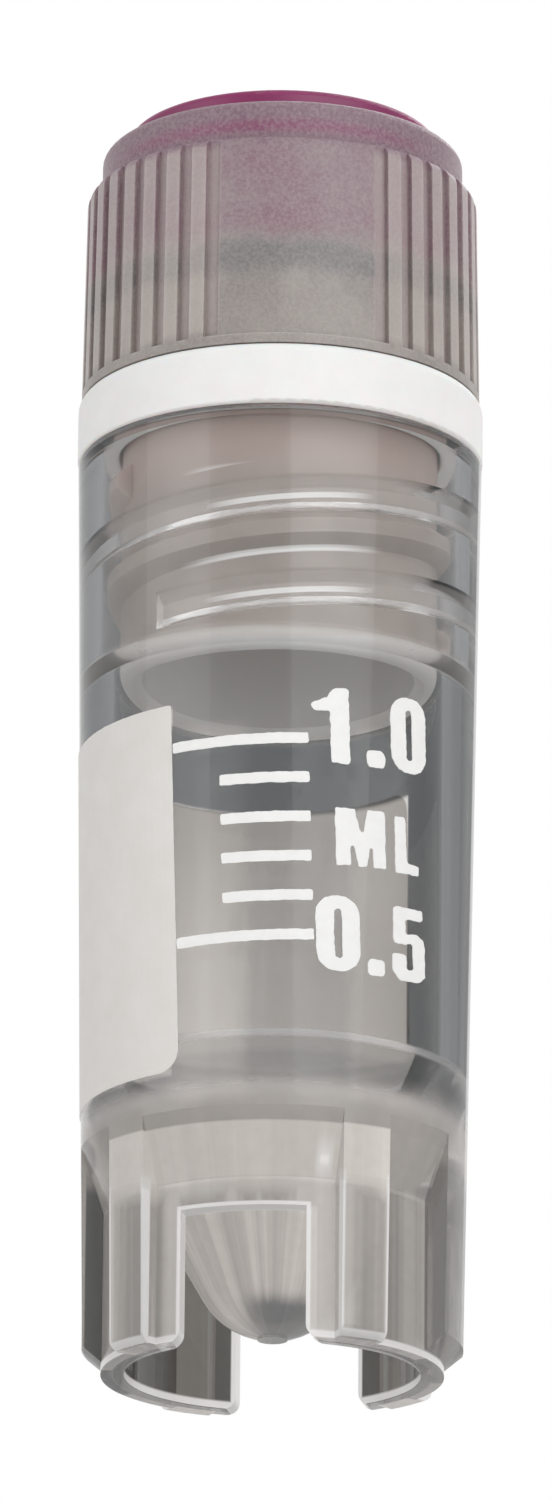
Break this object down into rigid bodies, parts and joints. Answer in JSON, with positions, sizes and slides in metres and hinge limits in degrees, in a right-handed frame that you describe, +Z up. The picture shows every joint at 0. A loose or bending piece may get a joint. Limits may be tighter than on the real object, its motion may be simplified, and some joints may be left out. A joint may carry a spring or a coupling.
{
  "type": "cryovial",
  "caption": "Small self-standing lab tube for frozen samples: skirted foot, printed volume marks and writing patch, and a ribbed screw cap with hollow plug, washer and coloured disc.",
  "frame": {"origin": "on the tube's axis, in the plane its foot stands on", "axes": "+Z up along the axis from foot to cap; the foot's open slots face -Y and +Y"},
  "size_m": [0.0125, 0.0124, 0.0395],
  "materials": {
    "clear_tube": "clear moulded polypropylene, smooth",
    "frosted_cap": "frosted translucent polypropylene",
    "purple_disc": "satin purple plastic",
    "white_silicone": "matt white silicone"
  },
  "bodies": {
    "tube": {"vial_tube": "clear_tube"},
    "seal": {"sealing_ring": "white_silicone"},
    "cap": {"screw_cap": "frosted_cap", "colour_insert": "purple_disc"}
  },
  "joints": [
    {"name": "cap_lift", "type": "slide", "parent": "tube", "child": "seal", "axis": [0, 0, 1], "range_m": [0, 0.009]},
    {"name": "cap_turn", "type": "hinge", "parent": "seal", "child": "cap", "pos_m": [0, 0, 0.03075], "axis": [0, 0, 1], "range_deg": [0, 1080]}
  ],
  "couplings": [
    {"joint": "cap_turn", "follows": "cap_lift", "rad_per_m": 2094.4}
  ]
}
